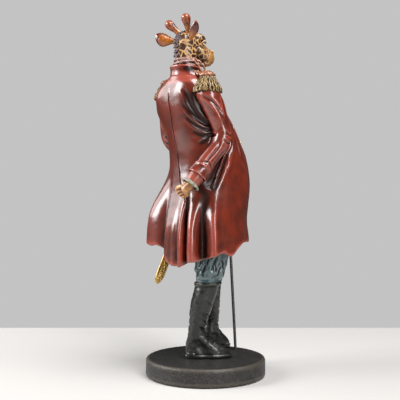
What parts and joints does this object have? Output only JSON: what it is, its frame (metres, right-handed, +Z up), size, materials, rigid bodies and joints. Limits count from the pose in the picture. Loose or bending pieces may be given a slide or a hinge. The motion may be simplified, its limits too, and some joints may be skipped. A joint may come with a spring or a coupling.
{
  "type": "giraffe officer figurine",
  "caption": "Standing giraffe dressed as an officer in a long flared coat, tall boots and epaulettes, leaning on a thin cane, on a round base.",
  "frame": {"origin": "centre of the underside of the round base, on the table", "axes": "+Z up; the figure faces -Y and its right hand is towards -X"},
  "size_m": [0.13, 0.13, 0.3879],
  "materials": {
    "base_paint": "charcoal paint with a bronze-brown dry brush over a rough cast, satin",
    "felt": "black felt pad",
    "steel": "plain steel rod, hidden inside the castings",
    "boot_paint": "near-black paint under satin lacquer",
    "breeches_paint": "slate blue-grey paint with a dark wash, satin lacquer",
    "coat_paint": "oxblood paint with a dark brown wash in the creases, glossy lacquer",
    "button_paint": "dark bronze-brown paint, glossy lacquer",
    "neckcloth_paint": "brownish-pink paint, satin lacquer",
    "undersleeve_paint": "lighter red paint, satin lacquer",
    "frill_paint": "greyed off-white paint with a dark wash, satin lacquer",
    "hand_paint": "ochre paint with a brown wash, satin lacquer",
    "gold_paint": "gold metallic paint with a black wash in the recesses",
    "giraffe_paint": "cream paint with dark brown hide patches, satin lacquer",
    "mane_paint": "dark red-brown paint, satin lacquer",
    "ear_paint": "orange paint shaded to red-brown, satin lacquer",
    "eye_paint": "black paint, glossy lacquer",
    "cane_paint": "black paint, glossy lacquer"
  },
  "bodies": {
    "root": {"base_disc": "base_paint", "base_felt": "felt", "leg_rod_right": "steel", "leg_rod_left": "steel", "boot_right": "boot_paint", "boot_left": "boot_paint", "breeches_right": "breeches_paint", "breeches_left": "breeches_paint", "coat_body": "coat_paint", "coat_collar": "coat_paint", "coat_buttons": "button_paint", "neckcloth": "neckcloth_paint", "neck_peg": "steel", "sleeve_right": "coat_paint", "sleeve_left": "coat_paint", "cuff_right": "coat_paint", "cuff_left": "coat_paint", "wristlet_right": "undersleeve_paint", "wristlet_left": "undersleeve_paint", "frill_right": "frill_paint", "frill_left": "frill_paint", "hand_right": "hand_paint", "hand_left": "hand_paint", "epaulette_board_right": "gold_paint", "epaulette_board_left": "gold_paint", "epaulette_fringe_right": "gold_paint", "epaulette_fringe_left": "gold_paint", "epaulette_strap_right": "gold_paint", "epaulette_strap_left": "gold_paint", "head": "giraffe_paint", "mane": "mane_paint", "ear_right": "ear_paint", "ear_left": "ear_paint", "ossicone_right": "ear_paint", "ossicone_left": "ear_paint", "eye_right": "eye_paint", "eye_left": "eye_paint", "cane_shaft": "cane_paint", "cane_knob": "gold_paint", "scabbard": "cane_paint", "scabbard_chape": "gold_paint", "sabre_hilt": "gold_paint"}
  },
  "joints": []
}
